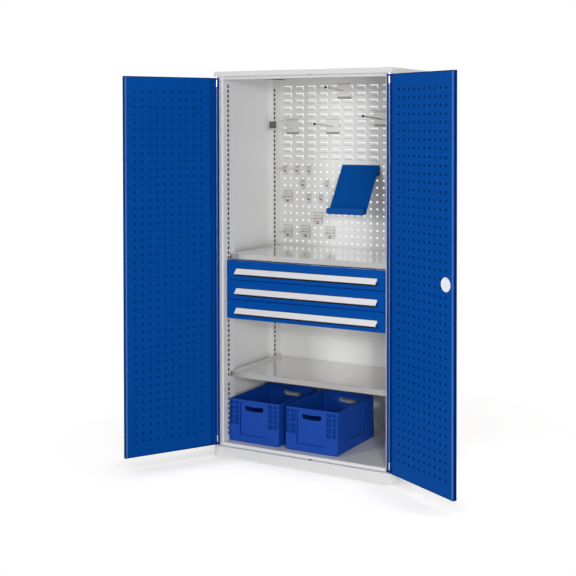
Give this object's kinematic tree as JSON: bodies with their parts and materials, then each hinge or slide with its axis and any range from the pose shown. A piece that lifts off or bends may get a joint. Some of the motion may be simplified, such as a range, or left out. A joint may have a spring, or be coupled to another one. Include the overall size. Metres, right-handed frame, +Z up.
{
  "type": "hinged door cabinet",
  "caption": "Tall steel workshop cabinet with two swing doors, perforated inside, drawers, shelves, louvre and hole panels with holders, and open boxes.",
  "frame": {"origin": "on the ground at the middle of the footprint, on the underside of the floor channel", "axes": "+Z up, +X to the right as seen from the front, +Y from the doors to the back"},
  "size_m": [1.6731, 1.0111, 1.95],
  "materials": {
    "grey_paint": "fine powder coat",
    "blue_paint": "fine powder coat",
    "tray_paint": "fine powder coat",
    "zinc_sheet": "galvanised sheet",
    "drawer_sheet": "fine powder coat",
    "zinc_runner": "zinc plated",
    "zinc_pin": "zinc plated",
    "white_grip": "satin",
    "white_cover": "satin",
    "black_plastic": "satin",
    "lock_steel": "zinc plated",
    "guide_plastic": "satin",
    "box_plastic": "satin moulded",
    "holder_paint": "fine powder coat",
    "pin_steel": "zinc plated",
    "tip_plastic": "satin",
    "hook_steel": "zinc plated",
    "red_clip": "satin"
  },
  "bodies": {
    "carcass": {"back_panel": "grey_paint", "base_channel": "grey_paint", "base_plinth": "grey_paint", "cabinet_rails": "zinc_runner", "clamp_holder": "holder_paint", "clamp_pad": "tip_plastic", "document_tray": "tray_paint", "drawer_carriers": "zinc_sheet", "floor_plate": "grey_paint", "front_post_left": "grey_paint", "front_post_right": "grey_paint", "hinge_pins": "zinc_pin", "lock_clips": "red_clip", "louvre_panel": "grey_paint", "lower_shelf": "zinc_sheet", "perforated_panel": "grey_paint", "pin_holder_plates": "holder_paint", "pin_holder_rods": "pin_steel", "pin_holder_tips": "tip_plastic", "rear_post_left": "grey_paint", "rear_post_right": "grey_paint", "shelf_clips": "zinc_sheet", "side_panel_left": "grey_paint", "side_panel_right": "grey_paint", "tool_hooks": "hook_steel", "top_cap": "grey_paint", "top_rail": "grey_paint", "upper_shelf": "zinc_sheet", "wide_holders": "hook_steel"},
    "left_door": {"door_left_skin": "blue_paint", "door_left_inner_panel": "blue_paint", "door_left_hinge_tube": "blue_paint"},
    "right_door": {"door_right_skin": "blue_paint", "door_right_inner_panel": "blue_paint", "door_right_hinge_tube": "blue_paint", "lock_rosette": "white_cover", "lock_escutcheon": "black_plastic", "rod_guides": "guide_plastic"},
    "lock_turn": {"lock_handle": "black_plastic", "lock_pinion": "lock_steel"},
    "rod_upper": {"lock_rod_upper": "lock_steel"},
    "rod_lower": {"lock_rod_lower": "lock_steel"},
    "left_box": {"box_left": "box_plastic"},
    "right_box": {"box_right": "box_plastic"},
    "upper_drawer": {"drawer_upper_front": "blue_paint", "drawer_upper_tray": "drawer_sheet", "drawer_upper_grip": "white_grip", "drawer_upper_inner_rails": "zinc_runner"},
    "upper_drawer_middle_rails": {"drawer_upper_middle_rails": "zinc_runner"},
    "middle_drawer": {"drawer_middle_front": "blue_paint", "drawer_middle_tray": "drawer_sheet", "drawer_middle_grip": "white_grip", "drawer_middle_inner_rails": "zinc_runner"},
    "middle_drawer_middle_rails": {"drawer_middle_middle_rails": "zinc_runner"},
    "lower_drawer": {"drawer_lower_front": "blue_paint", "drawer_lower_tray": "drawer_sheet", "drawer_lower_grip": "white_grip", "drawer_lower_inner_rails": "zinc_runner"},
    "lower_drawer_middle_rails": {"drawer_lower_middle_rails": "zinc_runner"}
  },
  "joints": [
    {"name": "left_door_hinge", "type": "hinge", "parent": "carcass", "child": "left_door", "pos_m": [-0.488, -0.294, 0.989], "axis": [0, 0, -1], "range_deg": [-122.4, 57.6]},
    {"name": "right_door_hinge", "type": "hinge", "parent": "carcass", "child": "right_door", "pos_m": [0.488, -0.294, 0.989], "axis": [0, 0, 1], "range_deg": [-152.3, 27.7]},
    {"name": "lock_handle_turn", "type": "hinge", "parent": "right_door", "child": "lock_turn", "pos_m": [0.87138, -0.49528, 0.989], "axis": [0.4648, 0.8854, 0], "range_deg": [0, 90]},
    {"name": "upper_rod_slide", "type": "slide", "parent": "right_door", "child": "rod_upper", "axis": [0, 0, 1], "range_m": [0, 0.02]},
    {"name": "lower_rod_slide", "type": "slide", "parent": "right_door", "child": "rod_lower", "axis": [0, 0, -1], "range_m": [0, 0.0201]},
    {"name": "upper_drawer_middle_slide", "type": "slide", "parent": "carcass", "child": "upper_drawer_middle_rails", "axis": [0, -1, 0], "range_m": [0, 0.225]},
    {"name": "upper_drawer_slide", "type": "slide", "parent": "carcass", "child": "upper_drawer", "axis": [0, -1, 0], "range_m": [0, 0.45]},
    {"name": "middle_drawer_middle_slide", "type": "slide", "parent": "carcass", "child": "middle_drawer_middle_rails", "axis": [0, -1, 0], "range_m": [0, 0.225]},
    {"name": "middle_drawer_slide", "type": "slide", "parent": "carcass", "child": "middle_drawer", "axis": [0, -1, 0], "range_m": [0, 0.45]},
    {"name": "lower_drawer_middle_slide", "type": "slide", "parent": "carcass", "child": "lower_drawer_middle_rails", "axis": [0, -1, 0], "range_m": [0, 0.225]},
    {"name": "lower_drawer_slide", "type": "slide", "parent": "carcass", "child": "lower_drawer", "axis": [0, -1, 0], "range_m": [0, 0.45]},
    {"name": "left_box_slide", "type": "slide", "parent": "carcass", "child": "left_box", "axis": [0, -1, 0], "range_m": [0, 0.44]},
    {"name": "right_box_slide", "type": "slide", "parent": "carcass", "child": "right_box", "axis": [0, -1, 0], "range_m": [0, 0.44]}
  ],
  "couplings": [
    {"joint": "lock_handle_turn", "follows": "upper_rod_slide", "rad_per_m": 78.539},
    {"joint": "lower_rod_slide", "follows": "upper_rod_slide", "ratio": 1},
    {"joint": "upper_drawer_middle_slide", "follows": "upper_drawer_slide", "ratio": 0.5},
    {"joint": "middle_drawer_middle_slide", "follows": "middle_drawer_slide", "ratio": 0.5},
    {"joint": "lower_drawer_middle_slide", "follows": "lower_drawer_slide", "ratio": 0.5}
  ]
}
